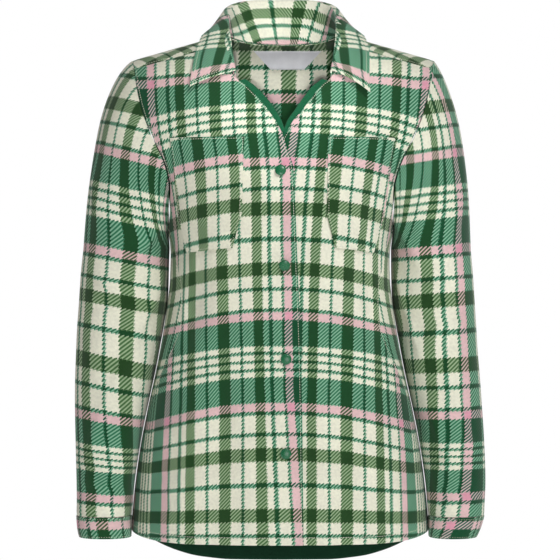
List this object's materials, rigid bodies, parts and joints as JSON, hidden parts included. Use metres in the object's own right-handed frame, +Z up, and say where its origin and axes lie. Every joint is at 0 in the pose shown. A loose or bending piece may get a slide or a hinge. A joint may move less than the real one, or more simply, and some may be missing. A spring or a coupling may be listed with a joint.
{
  "type": "shacket",
  "caption": "Plaid fleece shirt jacket with a turned-down collar, snap front, two chest pockets and long cuffed sleeves, filled out as worn.",
  "frame": {"origin": "base of the neck, midway between the two high shoulder points, where the wearer's shoulders hold the jacket up", "axes": "+Z up, +X to the wearer's left, the front looks along -Y"},
  "size_m": [0.5346, 0.2577, 0.7532],
  "materials": {
    "plaid_fleece": "brushed printed fleece in green, cream and pink plaid",
    "green_facing": "plain forest green fleece",
    "snap_cap": "glossy dark green",
    "label": "satin woven, blank"
  },
  "bodies": {
    "root": {"front_right": "plaid_fleece", "front_left": "plaid_fleece", "back": "plaid_fleece", "yoke": "plaid_fleece", "yoke_facing": "plaid_fleece", "collar": "plaid_fleece", "facing_right": "green_facing", "facing_left": "green_facing", "sleeve_right": "plaid_fleece", "sleeve_left": "plaid_fleece", "cuff_right": "plaid_fleece", "cuff_left": "plaid_fleece", "pocket_right": "plaid_fleece", "pocket_left": "plaid_fleece", "snap_1": "snap_cap", "snap_2": "snap_cap", "snap_3": "snap_cap", "snap_4": "snap_cap", "neck_label": "label"}
  },
  "joints": []
}
